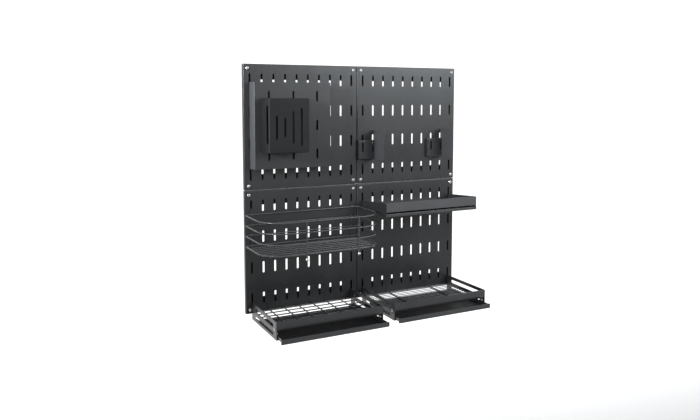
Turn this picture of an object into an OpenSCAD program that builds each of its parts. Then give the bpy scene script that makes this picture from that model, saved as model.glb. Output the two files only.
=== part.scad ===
// Slotted-panel organiser wall: four pan-shaped sheet panels, screwed to a wall, with a lid rack,
// a holder box, two angle brackets, a wire basket, a shelf and two dish racks hooked into the slots.
// X runs to the right along the wall, Z is up and the accessories stand out towards -Y.
// The origin is on the wall plane, where the four panels meet.

/* [Panels] */
// Width of one panel
panel_w = 302; // [250:1:380]
// Height of one panel
panel_h = 302; // [250:1:380]
// Depth of a panel from the wall to its front face
panel_depth = 12; // [10:0.5:18]
// Thickness of the panel sheet
panel_t = 1.5; // [1:0.1:2]
// Width of the lips that turn inwards along the wall
lip_w = 37; // [24:1:44]
// Outer corner radius of a panel
panel_r = 1.5; // [1:0.5:8]
// Gap between neighbouring panels
seam = 1; // [0.5:0.5:3]

/* [Slots] */
// Distance from a panel's top edge to its first slot row
row_margin = 37; // [34:0.5:44]
// Length of a slot
slot_len = 28; // [22:0.5:34]
// Width of a slot
slot_w = 5; // [4:0.25:7]

/* [Wall screws] */
// Distance from a screw to the panel's edges
screw_inset = 10.5; // [9:0.5:14]
// Thread diameter of a wall screw, behind the panels
screw_d = 5; // [4:0.5:6]
// Head diameter of a wall screw
screw_head_d = 8.5; // [8:0.5:12]
// Height of a wall screw's domed head
screw_head_h = 3; // [2:0.5:4]
// Length of shank that stands out behind the panels, into the wall
screw_reach = 28; // [15:1:45]

/* [Hooks] */
// Thickness of the sheet that the hooks are cut from
hook_t = 2; // [1.5:0.1:2.5]
// Height of a hook's neck, where it passes through its slot
hook_neck = 5; // [4:0.5:7]
// Length of the leg that drops behind the sheet
hook_drop = 8; // [6:0.5:10]

/* [Lid rack] */
// Width of the lid rack's plate
lid_w = 197; // [170:1:240]
// Distance from the panel face to the front of the plate
lid_standoff = 34; // [25:1:45]
// Height of the plate beyond the two slot rows that it spans
lid_over = 54; // [50:1:66]
// Spacing of the plate's slot columns
lid_column_pitch = 62; // [50:1:76]
// Spacing of the plate's slot rows
lid_row_pitch = 70; // [60:1:80]
// Length of the plate's slots
lid_slot_len = 25; // [22:0.5:30]

/* [Holder box] */
// Width of the holder box
holder_w = 100; // [84:1:120]
// Height of the holder box
holder_h = 127; // [106:1:140]
// Depth of the holder box
holder_d = 52; // [44:1:62]
// Wall thickness of the holder box
holder_t = 1.5; // [1:0.1:2]

/* [Angle brackets] */
// Height of a bracket's base
bracket_base_h = 50; // [42:1:60]
// Distance from the panel face to the front of the base
bracket_standoff = 8; // [6:0.5:12]
// Reach of the side plate from the panel face
bracket_reach = 56; // [46:1:68]
// Height of the side plate
bracket_plate_h = 76; // [62:1:92]

/* [Basket] */
// Wire diameter of the basket
basket_wire = 3; // [2.5:0.25:4]
// Reach of the basket from the panel face
basket_d = 148; // [120:1:180]
// Spacing of the basket's hoops
hoop_pitch = 25; // [20:1:30]
// Plan radius of the basket's front corners
basket_r = 60; // [30:1:72]
// Diameter of the ball tips under the front uprights
tip_d = 8; // [6:0.5:11]

/* [Shelf] */
// Reach of the shelf from the panel face
shelf_d = 125; // [104:1:150]
// Height of the shelf's front fascia
fascia_h = 24; // [18:1:32]
// Height of the shelf tray's front flange
shelf_flange_h = 6; // [5:0.5:10]

/* [Dish racks] */
// Reach of a dish rack from the panel face
rack_d = 168; // [140:1:202]
// Height of a dish rack's front plate
rack_front_h = 24; // [20:1:28]
// Distance that a dish rack's side plates reach below its front plate
rack_skirt = 18; // [15:1:26]
// Wire diameter of the floor with cross wires
floor_wire = 3; // [2.5:0.25:4]
// Wire diameter of the floor with fine wires
fine_wire = 2; // [1.5:0.25:3]
// Height of a drip tray's front flange
tray_flange_h = 11.5; // [9:0.5:14]
// Distance that the left drip tray stands out at rest
left_tray_out = 28; // [0:1:60]
// Distance that the right drip tray stands out at rest
right_tray_out = 20; // [0:1:60]

/* [Hidden] */
$fn = 48;
columns = 10;
rows = 4;
head_gap = 0.25;
column_margin = screw_inset + screw_head_d / 2 + hook_t / 2 + head_gap;
pitch_x = (panel_w - 2 * column_margin) / (columns - 1);
pitch_z = (panel_h - 2 * row_margin) / (rows - 1);
face_y = -panel_depth;
fit = 0.1;
screw_clear = 0.2;
neck_d = screw_d + 0.6;
hook_clear = 0.4;
sink = 0.5;
over = 1;
hang_y = face_y - fit;
span_w = (columns - 1) * pitch_x + hook_t;
rail_t = 1.5;
black = "#26282a";
steel = "#d9dadb";
zinc = "#b9bbbd";
nylon = "#e4e4e0";

neck_cover = 2.5;
lid_x = column_x(-1, 0) - hook_t / 2 + lid_w / 2;
lid_top = slot_floor(1, 0) + hook_neck + neck_cover;
lid_h = 2 * pitch_z + lid_over;
lid_y = face_y - lid_standoff;
lid_mid = lid_top - lid_h / 2;
lid_column = floor((lid_w - hook_t) / pitch_x);

holder_x = lid_x - lid_column_pitch / 2;
holder_top = lid_slot_floor(0) + hook_neck + neck_cover;
holder_back = lid_y - fit;

bracket_columns = [0, 7];
bracket_row = 2;
tab_h = 24;
tab_cover = 6;

basket_x = (column_x(-1, 0) + column_x(-1, columns - 1)) / 2;
basket_half = span_w / 2 + 15;
basket_top = slot_floor(-1, 0) - 6.5;
basket_back = hang_y - hook_t - basket_wire / 2;
basket_front = face_y - basket_d + basket_wire / 2;
basket_floor = basket_top - 3 * hoop_pitch;
weld = 0.9;
upright_place = [-0.35, 0.53];
upright_x = [for (place = upright_place) basket_x + place * basket_half];
upright_y = basket_front - basket_wire;
upright_foot = basket_floor - (weld + 1.5) * basket_wire - 1;
tip_cup = 0.6;

shelf_x = column_x(1, 0) - hook_t / 2;
shelf_front = face_y - shelf_d;
shelf_rise = 9;
shelf_top = slot_floor(-1, 0) + hook_neck + neck_cover + shelf_rise;
shelf_slit = 4;
shelf_bottom = shelf_top - fascia_h - shelf_slit - shelf_flange_h;
shelf_runner = 1;
shelf_tray_t = 1;

rack_front = face_y - rack_d;
rack_top = slot_floor(-1, rows - 1) + hook_neck + fit + 0.4;
rack_edge = rack_top - rack_front_h;
rack_bottom = rack_edge - rack_skirt;
rack_post = 20;
runner_w = 8;
roll_r = 9;
side_gap = 1;
tray_t = 1.5;
guide_r = 2.6;
guide_gap = 0.3;
guide_top_gap = 1.9;
tray_wall_h = rack_skirt - rail_t - fit - guide_gap - 2 * guide_r - guide_top_gap;
tray_floor_z = rack_bottom + rail_t + fit;
tray_rim_z = tray_floor_z + tray_wall_h;
tray_front_gap = 0.5;
tray_back_gap = 13;
rack_screw_d = 4;
rack_screw_head_d = 7;
rack_screw_head_h = 2.2;
rack_screw_y = rack_front + 11;
rack_screw_z = rack_edge + 6;
guide_w = 3;
guide_y = rack_front + 8;
floor_z = rack_edge + 0.5;
wire_end = 3;

// Places on the board. side is -1 or 1 for the left or right panels, level is 1 or -1 for the
// upper or lower ones. Columns count from the left and rows from the top, both from 0.
function column_x(side, i) = side * (panel_w + seam) / 2 + (i - (columns - 1) / 2) * pitch_x;
function row_z(level, j) = level * (panel_h + seam) / 2 + ((rows - 1) / 2 - j) * pitch_z;
function slot_floor(level, j) = row_z(level, j) - slot_len / 2;
function lid_slot_floor(j) = lid_mid + (1 - j) * lid_row_pitch - lid_slot_len / 2;
// How far a flat neck of thickness t stays above the lowest point of a slot's round end
function seat(t, w) = w / 2 - sqrt(w * w - t * t) / 2 + fit / 2;

// A block given by its two corners
module block(x, y, z) {
    translate([x[0], y[0], z[0]]) cube([x[1] - x[0], y[1] - y[0], z[1] - z[0]]);
}

// A rod along X, Y or Z from a start point
module rod_x(at, length, d) {
    translate(at) rotate([0, 90, 0]) cylinder(h = length, d = d);
}

module rod_y(at, length, d) {
    translate(at) rotate([90, 0, 0]) cylinder(h = length, d = d);
}

module rod_z(at, length, d) {
    translate(at) cylinder(h = length, d = d);
}

// A slot cutter with round ends, cutting along Y, centred on x and z
module slot_y(x, z, width, length, y) {
    straight = length - width;
    block([x - width / 2, x + width / 2], y, [z - straight / 2, z + straight / 2]);
    for (end = [-1, 1]) rod_y([x, y[1], z + end * straight / 2], y[1] - y[0], width);
}

// A slot cutter with round ends, cutting along X and lying along Y or Z
module slot_x(y, z, x, across_z) {
    r = min(y[1] - y[0], z[1] - z[0]) / 2;
    if (across_z) {
        block(x, y, [z[0] + r, z[1] - r]);
        for (end = [z[0] + r, z[1] - r]) rod_x([x[0], y[0] + r, end], x[1] - x[0], 2 * r);
    } else {
        block(x, [y[0] + r, y[1] - r], z);
        for (end = [y[0] + r, y[1] - r]) rod_x([x[0], end, z[0] + r], x[1] - x[0], 2 * r);
    }
}

// A block with rounded edges along Y
module rounded_block(x, y, z, r) {
    block([x[0] + r, x[1] - r], y, z);
    block(x, y, [z[0] + r, z[1] - r]);
    for (cx = [x[0] + r, x[1] - r], cz = [z[0] + r, z[1] - r])
        rod_y([cx, y[1], cz], y[1] - y[0], 2 * r);
}

// A hook at x that passes through a sheet whose front is at y, over the slot floor at z
module hook(x, y, z, sheet, width) {
    low = z + seat(hook_t, width);
    leg = y + sheet + hook_clear;
    plane = [x - hook_t / 2, x + hook_t / 2];
    block(plane, [y - fit - sink, leg + hook_t], [low, low + hook_neck]);
    block(plane, [leg, leg + hook_t], [low - hook_drop, low + hook_neck]);
}

module board_hook(x, level, j) {
    hook(x, face_y, slot_floor(level, j), panel_t, slot_w);
}

// A screw with a domed head and a hexagon socket, along +Y from the head's underside
module screw(d, head_d, head_h, length) {
    dome_r = (head_d * head_d / 4 + head_h * head_h) / (2 * head_h);
    rotate([-90, 0, 0]) {
        cylinder(h = length, d = d);
        difference() {
            intersection() {
                translate([0, 0, dome_r - head_h]) sphere(r = dome_r);
                translate([0, 0, -head_h]) cylinder(h = head_h, d = head_d);
            }
            translate([0, 0, -head_h - over]) cylinder(h = over + head_h * 0.6, d = head_d * 0.4, $fn = 6);
        }
    }
}

module at_wall_screws(side, level) {
    for (cx = [-1, 1], cz = [-1, 1])
        translate([side * (panel_w + seam) / 2 + cx * (panel_w / 2 - screw_inset), 0,
            level * (panel_h + seam) / 2 + cz * (panel_h / 2 - screw_inset)])
            children();
}

// One panel: a shallow pan with lips along the wall, slots and four screw holes
module panel(side, level) {
    mx = side * (panel_w + seam) / 2;
    mz = level * (panel_h + seam) / 2;
    x = [mx - panel_w / 2, mx + panel_w / 2];
    z = [mz - panel_h / 2, mz + panel_h / 2];
    color(black) difference() {
        rounded_block(x, [face_y, 0], z, panel_r);
        block([x[0] + panel_t, x[1] - panel_t], [face_y + panel_t, -panel_t],
            [z[0] + panel_t, z[1] - panel_t]);
        block([x[0] + lip_w, x[1] - lip_w], [-2 * panel_t, over], [z[0] + lip_w, z[1] - lip_w]);
        for (i = [0:columns - 1], j = [0:rows - 1])
            slot_y(column_x(side, i), row_z(level, j), slot_w, slot_len,
                [face_y - over, face_y + panel_t + over]);
        at_wall_screws(side, level) rod_y([0, over, 0], panel_depth + 2 * over, neck_d + 2 * screw_clear);
    }
}

module panel_upper_left() {
    panel(-1, 1);
}

module panel_upper_right() {
    panel(1, 1);
}

module panel_lower_left() {
    panel(-1, -1);
}

module panel_lower_right() {
    panel(1, -1);
}

module wall_screws() {
    color(steel) for (side = [-1, 1], level = [-1, 1])
        at_wall_screws(side, level) {
            translate([0, face_y, 0]) screw(screw_d, screw_head_d, screw_head_h, panel_depth + screw_reach);
            rod_y([0, 0, 0], panel_depth, neck_d);
        }
}

// Sleeves that keep a panel's face and lip apart round each screw
module screw_spacers() {
    length = panel_depth - 2 * panel_t;
    color(zinc) for (side = [-1, 1], level = [-1, 1]) at_wall_screws(side, level) difference() {
        rod_y([0, -panel_t, 0], length, screw_head_d);
        rod_y([0, over, 0], panel_depth + 2 * over, neck_d + 2 * screw_clear);
    }
}

// Plate that stands off the board, with nine slots for smaller holders
module lid_rack_plate() {
    x = [lid_x - lid_w / 2, lid_x + lid_w / 2];
    z = [lid_top - lid_h, lid_top];
    color(black) {
        difference() {
            block(x, [lid_y, lid_y + rail_t], z);
            for (i = [-1:1], j = [-1:1])
                slot_y(lid_x + i * lid_column_pitch, lid_mid + j * lid_row_pitch, slot_w, lid_slot_len,
                    [lid_y - over, lid_y + rail_t + over]);
        }
        block([x[0], x[0] + hook_t], [lid_y, hang_y], z);
        block([x[1] - hook_t, x[1]], [lid_y, hang_y], z);
        block([column_x(-1, lid_column) - hook_t / 2, x[1]], [hang_y - rail_t, hang_y], z);
        for (column = [0, lid_column], j = [0, 2]) board_hook(column_x(-1, column), 1, j);
    }
}

// Open-topped box with tall slots in its front and sides
module holder_box() {
    x = [holder_x - holder_w / 2, holder_x + holder_w / 2];
    y = [holder_back - holder_d, holder_back];
    z = [holder_top - holder_h, holder_top];
    front_slots = [0.44, 0.35, 0.58, 0.7];
    front_pitch = holder_w * 0.205;
    front_slot_w = 5.5;
    front_slot_z = (z[0] + z[1]) / 2 - 4;
    side_slot = 14;
    side_slot_y = y[0] + 5;
    color(black) {
        difference() {
            block(x, y, z);
            block([x[0] + holder_t, x[1] - holder_t], [y[0] + holder_t, y[1] - holder_t],
                [z[0] + holder_t, z[1] + over]);
            for (i = [0:3])
                slot_y(holder_x + (i - 1.5) * front_pitch, front_slot_z, front_slot_w,
                    front_slots[i] * holder_h, [y[0] - over, y[0] + holder_t + over]);
            slot_x([side_slot_y, side_slot_y + side_slot], [z[0] + 20, z[1] - 16],
                [x[0] - over, x[1] + over], true);
        }
        for (i = [-1, 0], j = [0, 1])
            hook(lid_x + i * lid_column_pitch, lid_y, lid_slot_floor(j), rail_t, slot_w);
    }
}

// Base plate with two bent-back hook tabs and a tall side plate. column is the left tab's column.
module bracket(column) {
    hooks = [column_x(1, column), column_x(1, column + 1)];
    x = [hooks[0] - 16, hooks[1] + hook_t / 2];
    base_y = face_y - bracket_standoff;
    tab_top = slot_floor(1, bracket_row) + hook_neck + neck_cover;
    z = [tab_top + tab_cover - bracket_base_h, tab_top + tab_cover];
    tab_z = [tab_top - tab_h, tab_top];
    window = 5;
    side_z = [z[0], z[0] + bracket_plate_h];
    color(black) {
        difference() {
            block([x[0], x[1] + hook_t], [base_y, base_y + rail_t], z);
            for (tab = hooks)
                block([tab - hook_t / 2 - window, tab - hook_t / 2],
                    [base_y - over, base_y + rail_t + over], tab_z);
        }
        block([x[0], x[0] + rail_t], [base_y, hang_y], z);
        block(x, [base_y, hang_y], [z[0], z[0] + rail_t]);
        block(x, [base_y, hang_y], [z[1] - rail_t, z[1]]);
        for (tab = hooks) {
            block([tab - hook_t / 2, tab + hook_t / 2], [base_y, hang_y], tab_z);
            board_hook(tab, 1, bracket_row);
        }
        difference() {
            block([x[1], x[1] + hook_t], [face_y - bracket_reach, hang_y], side_z);
            side_plate_corner(x[1], face_y - bracket_reach, side_z[0], 1);
            side_plate_corner(x[1], face_y - bracket_reach, side_z[1], -1);
        }
    }
}

// Cutter that rounds a side plate's front corner. up is 1 at a lower corner and -1 at an upper one.
module side_plate_corner(x, y, z, up) {
    r = 5;
    difference() {
        block([x - over, x + hook_t + over], [y - over, y + r],
            up > 0 ? [z - over, z + r] : [z - r, z + over]);
        rod_x([x - 2 * over, y + r, z + up * r], hook_t + 4 * over, 2 * r);
    }
}

module bracket_left() {
    bracket(bracket_columns[0]);
}

module bracket_right() {
    bracket(bracket_columns[1]);
}

// Quarter bend of wire round a vertical axis, starting at the angle turn
module wire_bend(at, r, d, turn) {
    translate(at) rotate([0, 0, turn]) rotate_extrude(angle = 90) translate([r, 0]) circle(d = d);
}

// One closed hoop of the basket at height z
module hoop(z) {
    back_r = 8;
    x = [basket_x - basket_half, basket_x + basket_half];
    y = [basket_front, basket_back];
    rod_x([x[0] + back_r, y[1], z], 2 * (basket_half - back_r), basket_wire);
    rod_x([x[0] + basket_r, y[0], z], 2 * (basket_half - basket_r), basket_wire);
    for (cx = x) rod_y([cx, y[1] - back_r, z], y[1] - y[0] - back_r - basket_r, basket_wire);
    wire_bend([x[0] + basket_r, y[0] + basket_r, z], basket_r, basket_wire, 180);
    wire_bend([x[1] - basket_r, y[0] + basket_r, z], basket_r, basket_wire, 270);
    wire_bend([x[0] + back_r, y[1] - back_r, z], back_r, basket_wire, 90);
    wire_bend([x[1] - back_r, y[1] - back_r, z], back_r, basket_wire, 0);
}

module basket_hoops() {
    color(black) for (i = [0:3]) hoop(basket_top - i * hoop_pitch);
}

// Half length of a floor wire at y, out to the centre line of the lowest hoop
function floor_half(y) = let (past = basket_front + basket_r - y)
    past <= 0 ? basket_half : basket_half - basket_r + sqrt(basket_r * basket_r - past * past);

// Floor wires welded under the lowest hoop, and two cross wires under them
module basket_floor_wires() {
    wires = 7;
    step = (basket_back - basket_front) / (wires + 1);
    z = basket_floor - basket_wire;
    color(black) {
        for (i = [1:wires], y = [basket_back - i * step])
            rod_x([basket_x - floor_half(y), y, z], 2 * floor_half(y), basket_wire);
        for (x = upright_x)
            rod_y([x, basket_back, z - basket_wire * weld], basket_back - upright_y - basket_wire / 2,
                basket_wire);
    }
}

module basket_uprights() {
    color(black) for (x = upright_x)
        rod_z([x, upright_y, upright_foot], basket_top + basket_wire / 2 - upright_foot, basket_wire);
}

module basket_ball_tips() {
    color(steel) for (x = upright_x) difference() {
        translate([x, upright_y, upright_foot + tip_cup - tip_d / 2]) sphere(d = tip_d);
        rod_z([x, upright_y, upright_foot], tip_d, basket_wire);
    }
}

// Flat strip behind the hoops with a hook in each of two slot rows
module basket_hook(column) {
    x = column_x(-1, column);
    strip_w = 6;
    color(black) {
        block([x - strip_w / 2, x + strip_w / 2], [hang_y - hook_t, hang_y],
            [basket_floor - 10, slot_floor(-1, 0) + hook_neck + neck_cover]);
        for (j = [0, 1]) board_hook(x, -1, j);
    }
}

module basket_hook_left() {
    basket_hook(0);
}

module basket_hook_right() {
    basket_hook(columns - 1);
}

// Shelf side plate, lower at the wall, with a runner for the tray. inner is 1 on the left side.
module shelf_side(column, inner) {
    x = column_x(1, column);
    reach = hook_t / 2 + runner_w - 2;
    runner = inner > 0 ? [x, x + reach] : [x - reach, x];
    color(black) {
        translate([x + hook_t / 2, 0, 0]) rotate([90, 0, -90]) linear_extrude(height = hook_t)
            polygon([[-hang_y, shelf_bottom], [-shelf_front, shelf_bottom], [-shelf_front, shelf_top],
                [-hang_y, shelf_top - shelf_rise]]);
        block(runner, [shelf_front, hang_y - 6], [shelf_bottom, shelf_bottom + shelf_runner]);
        board_hook(x, -1, 0);
    }
}

module shelf_side_left() {
    shelf_side(0, 1);
}

module shelf_side_right() {
    shelf_side(columns - 1, -1);
}

// Slotted deck and front fascia, bent from one sheet
module shelf_deck() {
    x = [shelf_x + hook_t, shelf_x + span_w - hook_t];
    deck_z = shelf_top - fascia_h;
    drains = 9;
    step = (x[1] - x[0]) / (drains + 1);
    color(black) difference() {
        union() {
            block(x, [shelf_front, hang_y - 2], [deck_z, deck_z + rail_t]);
            block(x, [shelf_front, shelf_front + rail_t], [deck_z, shelf_top]);
        }
        for (i = [1:drains])
            translate([x[0] + i * step, (shelf_front + face_y) / 2, deck_z]) rotate([90, 0, 0])
                slot_y(0, 0, slot_w, shelf_d * 0.6, [-rail_t, 2 * rail_t]);
    }
}

// Shallow tray: floor, three walls and a wider front flange
module pan(x, y, z, flange_x, flange_z, t) {
    block(x, y, [z[0], z[0] + t]);
    for (wall = [[x[0], x[0] + t], [x[1] - t, x[1]]]) block(wall, y, z);
    block(x, [y[1] - t, y[1]], z);
    block(flange_x, [y[0] - t, y[0]], flange_z);
}

module shelf_tray() {
    inset = hook_t + side_gap;
    low = shelf_bottom + shelf_runner + fit;
    color(black) pan([shelf_x + inset, shelf_x + span_w - inset],
        [shelf_front - tray_front_gap, hang_y - 8],
        [low, shelf_bottom + shelf_flange_h + shelf_tray_t], [shelf_x, shelf_x + span_w],
        [shelf_bottom, shelf_bottom + shelf_flange_h], shelf_tray_t);
}

// Dish rack side plate with two long openings, a hook and an inward runner
module rack_side(side, column, inner) {
    x = column_x(side, column);
    plane = [x - hook_t / 2, x + hook_t / 2];
    runner = inner > 0 ? [x, plane[1] + runner_w] : [plane[0] - runner_w, x];
    openings = [[floor_z + 6, rack_top - 8.5], [rack_bottom + 7, floor_z - 4]];
    color(black) {
        difference() {
            block(plane, [rack_front, hang_y], [rack_bottom, rack_top]);
            for (z = openings)
                slot_x([rack_front + rack_post, hang_y - rack_post], z, [x - hook_t, x + hook_t], false);
            rod_x([x - hook_t, rack_screw_y, rack_screw_z], 2 * hook_t, rack_screw_d + screw_clear);
        }
        block(runner, [rack_front + 2, hang_y - 6], [rack_bottom, rack_bottom + rail_t]);
        board_hook(x, -1, rows - 1);
    }
}

// Dish rack front plate: upright, rolled under at the bottom, with a screw tab at each end
module rack_front_plate(side) {
    x = [column_x(side, 0) + hook_t / 2, column_x(side, columns - 1) - hook_t / 2];
    past = [x[0] - over, x[1] + over];
    roll_y = rack_front + roll_r;
    roll_z = rack_edge + roll_r;
    tab_back = rack_front + rack_post - 3;
    tab_top = rack_top - 3;
    color(black) {
        block(x, [rack_front, rack_front + rail_t], [roll_z, rack_top]);
        difference() {
            rod_x([x[0], roll_y, roll_z], x[1] - x[0], 2 * roll_r);
            rod_x([past[0], roll_y, roll_z], past[1] - past[0], 2 * (roll_r - rail_t));
            block(past, [rack_front - over, roll_y + roll_r + over], [roll_z, roll_z + roll_r + over]);
            block(past, [roll_y, roll_y + roll_r + over], [rack_edge - over, roll_z + roll_r]);
        }
        for (tab = [[x[0], x[0] + rail_t], [x[1] - rail_t, x[1]]]) difference() {
            union() {
                block(tab, [rack_front + rail_t / 2, tab_back], [roll_z, tab_top]);
                block(tab, [roll_y - 2, tab_back], [rack_edge + 2, tab_top]);
            }
            rod_x([tab[0] - over, rack_screw_y, rack_screw_z], rail_t + 2 * over,
                rack_screw_d + screw_clear);
        }
    }
}

// Floor of spaced long wires under cross wires
module cross_wire_floor(side) {
    x = [column_x(side, 0) + hook_t / 2, column_x(side, columns - 1) - hook_t / 2];
    long = 7;
    cross = 6;
    y = [rack_front + rack_post + 5, hang_y - 5];
    step = (y[1] - y[0]) / (long - 1);
    cross_step = (x[1] - x[0]) / (cross + 1);
    color(black) {
        for (i = [0:long - 1]) rod_x([x[0], y[0] + i * step, floor_z], x[1] - x[0], floor_wire);
        for (i = [1:cross])
            rod_y([x[0] + i * cross_step, y[1] + wire_end, floor_z + floor_wire * weld],
                y[1] - y[0] + 2 * wire_end, floor_wire);
    }
}

// Floor of fine long wires over two cross bars
module fine_wire_floor(side) {
    x = [column_x(side, 0) + hook_t / 2, column_x(side, columns - 1) - hook_t / 2];
    long = 13;
    bar = 4;
    bar_place = 0.237;
    y = [rack_front + rack_post + 5, hang_y - 5];
    step = (y[1] - y[0]) / (long - 1);
    color(black) {
        for (i = [0:long - 1]) rod_x([x[0], y[0] + i * step, floor_z], x[1] - x[0], fine_wire);
        for (i = [-1, 1])
            rod_y([(x[0] + x[1]) / 2 + i * bar_place * (x[1] - x[0]), y[1] + wire_end,
                floor_z + (fine_wire + bar) / 2 * weld], y[1] - y[0] + 2 * wire_end, bar);
    }
}

// One screw through each side plate into the front plate's tabs
module rack_screws(side) {
    color(steel) {
        translate([column_x(side, 0) - hook_t / 2, rack_screw_y, rack_screw_z]) rotate([0, 0, -90])
            screw(rack_screw_d, rack_screw_head_d, rack_screw_head_h, hook_t + rail_t + 2);
        translate([column_x(side, columns - 1) + hook_t / 2, rack_screw_y, rack_screw_z])
            rotate([0, 0, 90])
                screw(rack_screw_d, rack_screw_head_d, rack_screw_head_h, hook_t + rail_t + 2);
    }
}

// Buttons above the tray's walls, which keep it from tipping when it is pulled out
module rack_guides(side) {
    z = tray_rim_z + guide_gap + guide_r;
    color(nylon) {
        rod_x([column_x(side, 0) + hook_t / 2, guide_y, z], guide_w, 2 * guide_r);
        rod_x([column_x(side, columns - 1) - hook_t / 2 - guide_w, guide_y, z], guide_w, 2 * guide_r);
    }
}

// Drip tray that stands out from its rack's front by out
module drip_tray(side, out) {
    x = [column_x(side, 0) - hook_t / 2, column_x(side, columns - 1) + hook_t / 2];
    inset = hook_t + side_gap;
    color(black) pan([x[0] + inset, x[1] - inset],
        [rack_front - tray_front_gap - out, face_y - tray_back_gap - out],
        [tray_floor_z, tray_rim_z], x, [rack_bottom, rack_bottom + tray_flange_h], tray_t);
}

module left_rack_side_left() {
    rack_side(-1, 0, 1);
}

module left_rack_side_right() {
    rack_side(-1, columns - 1, -1);
}

module left_rack_front() {
    rack_front_plate(-1);
}

module left_rack_floor() {
    cross_wire_floor(-1);
}

module left_rack_screws() {
    rack_screws(-1);
}

module left_rack_guides() {
    rack_guides(-1);
}

module left_drip_tray() {
    drip_tray(-1, left_tray_out);
}

module right_rack_side_left() {
    rack_side(1, 0, 1);
}

module right_rack_side_right() {
    rack_side(1, columns - 1, -1);
}

module right_rack_front() {
    rack_front_plate(1);
}

module right_rack_floor() {
    fine_wire_floor(1);
}

module right_rack_screws() {
    rack_screws(1);
}

module right_rack_guides() {
    rack_guides(1);
}

module right_drip_tray() {
    drip_tray(1, right_tray_out);
}

panel_upper_left();
panel_upper_right();
panel_lower_left();
panel_lower_right();
wall_screws();
screw_spacers();
lid_rack_plate();
holder_box();
bracket_left();
bracket_right();
basket_hoops();
basket_floor_wires();
basket_uprights();
basket_ball_tips();
basket_hook_left();
basket_hook_right();
shelf_side_left();
shelf_side_right();
shelf_deck();
shelf_tray();
left_rack_side_left();
left_rack_side_right();
left_rack_front();
left_rack_floor();
left_rack_screws();
left_rack_guides();
left_drip_tray();
right_rack_side_left();
right_rack_side_right();
right_rack_front();
right_rack_floor();
right_rack_screws();
right_rack_guides();
right_drip_tray();
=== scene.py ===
import math

import bmesh
import bpy
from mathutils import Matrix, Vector, geometry


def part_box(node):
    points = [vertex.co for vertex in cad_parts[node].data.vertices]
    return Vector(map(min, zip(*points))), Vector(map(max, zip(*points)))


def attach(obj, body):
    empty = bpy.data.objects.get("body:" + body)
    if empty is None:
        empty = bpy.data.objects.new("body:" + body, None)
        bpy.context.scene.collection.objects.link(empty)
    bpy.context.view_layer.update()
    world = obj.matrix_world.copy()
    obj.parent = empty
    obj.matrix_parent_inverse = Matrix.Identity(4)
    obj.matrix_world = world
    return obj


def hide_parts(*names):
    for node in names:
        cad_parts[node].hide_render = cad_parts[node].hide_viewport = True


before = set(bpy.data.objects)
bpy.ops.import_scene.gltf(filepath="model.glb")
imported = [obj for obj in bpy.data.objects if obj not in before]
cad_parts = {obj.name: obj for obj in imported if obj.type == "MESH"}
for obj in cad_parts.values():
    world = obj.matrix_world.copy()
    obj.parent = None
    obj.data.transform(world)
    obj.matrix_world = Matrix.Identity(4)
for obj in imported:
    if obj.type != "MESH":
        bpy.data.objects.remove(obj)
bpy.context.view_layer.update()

# ---------------------------------------------------------------- sizes, in mm as in the CAD source
MM = 0.001
PANEL_W, PANEL_MID = 302.0, 151.5
PANEL_T, PANEL_R, LIP_W = 1.5, 1.5, 37.0
SCREW_IN, SCREW_HOLE = 10.5, 6.0
SLOT_W, SLOT_LEN = 5.0, 28.0
FACE_Y, HANG_Y = -12.0, -12.1
HOOK_T, HOOK_NECK, HOOK_DROP, HOOK_CLEAR, HOOK_ROOT = 2.0, 5.0, 8.0, 0.4, 0.6
SHEET = 1.5
PITCH_X, PITCH_Z = 30.0, 76.0
COLUMNS, ROWS = 10, 4
LID_SLOT_LEN, LID_PITCH_X, LID_PITCH_Z = 25.0, 62.0, 70.0


def col(side, i):
    """X of slot column i on a left (-1) or right (1) panel."""
    return side * PANEL_MID + (i - (COLUMNS - 1) / 2) * PITCH_X


def row(level, j):
    """Z of slot row j, counted from the top, on a lower (-1) or upper (1) panel."""
    return level * PANEL_MID + ((ROWS - 1) / 2 - j) * PITCH_Z


def slot_floor(level, j):
    return row(level, j) - SLOT_LEN / 2


def extents(node):
    """Lowest and highest corner of a CAD node in mm."""
    lo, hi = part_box(node)
    return [v / MM for v in lo], [v / MM for v in hi]


# ---------------------------------------------------------------- mesh helpers
def fillet(points, steps=5):
    """A closed outline from (u, v) or (u, v, radius) corners, with each radius rounded off."""
    out = []
    n = len(points)
    for k in range(n):
        here = Vector(points[k][:2])
        radius = points[k][2] if len(points[k]) > 2 else 0
        if not radius:
            out.append(here)
            continue
        before = (Vector(points[k - 1][:2]) - here).normalized()
        after = (Vector(points[(k + 1) % n][:2]) - here).normalized()
        half = before.angle(after) / 2
        reach = radius / math.tan(half)
        centre = here + (before + after).normalized() * (radius / math.sin(half))
        start, end = here + before * reach - centre, here + after * reach - centre
        turn = start.angle_signed(end)
        for s in range(steps + 1):
            a = -turn * s / steps
            c, d = math.cos(a), math.sin(a)
            out.append(centre + Vector((start.x * c - start.y * d, start.x * d + start.y * c)))
    return out


def rect(u, v, r=0.0):
    """The four corners of a rectangle, each with radius r."""
    return [(u[0], v[0], r), (u[1], v[0], r), (u[1], v[1], r), (u[0], v[1], r)]


def place(axis, u, v, w):
    """The point at w along an axis, with u and v across it."""
    return {"X": (w, u, v), "Y": (u, w, v), "Z": (u, v, w)}[axis]


def prism(bm, outline, axis, span):
    """Adds a prism: the outline (fillet corners) swept along an axis over the span."""
    flat = fillet(outline)
    rings = [[bm.verts.new(place(axis, p.x, p.y, w)) for p in flat] for w in span]
    faces = [bm.faces.new(rings[0]), bm.faces.new(rings[1])]
    n = len(flat)
    a, b = rings
    for k in range(n):
        faces.append(bm.faces.new((a[k], a[(k + 1) % n], b[(k + 1) % n], b[k])))
    bmesh.ops.recalc_face_normals(bm, faces=faces)


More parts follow.
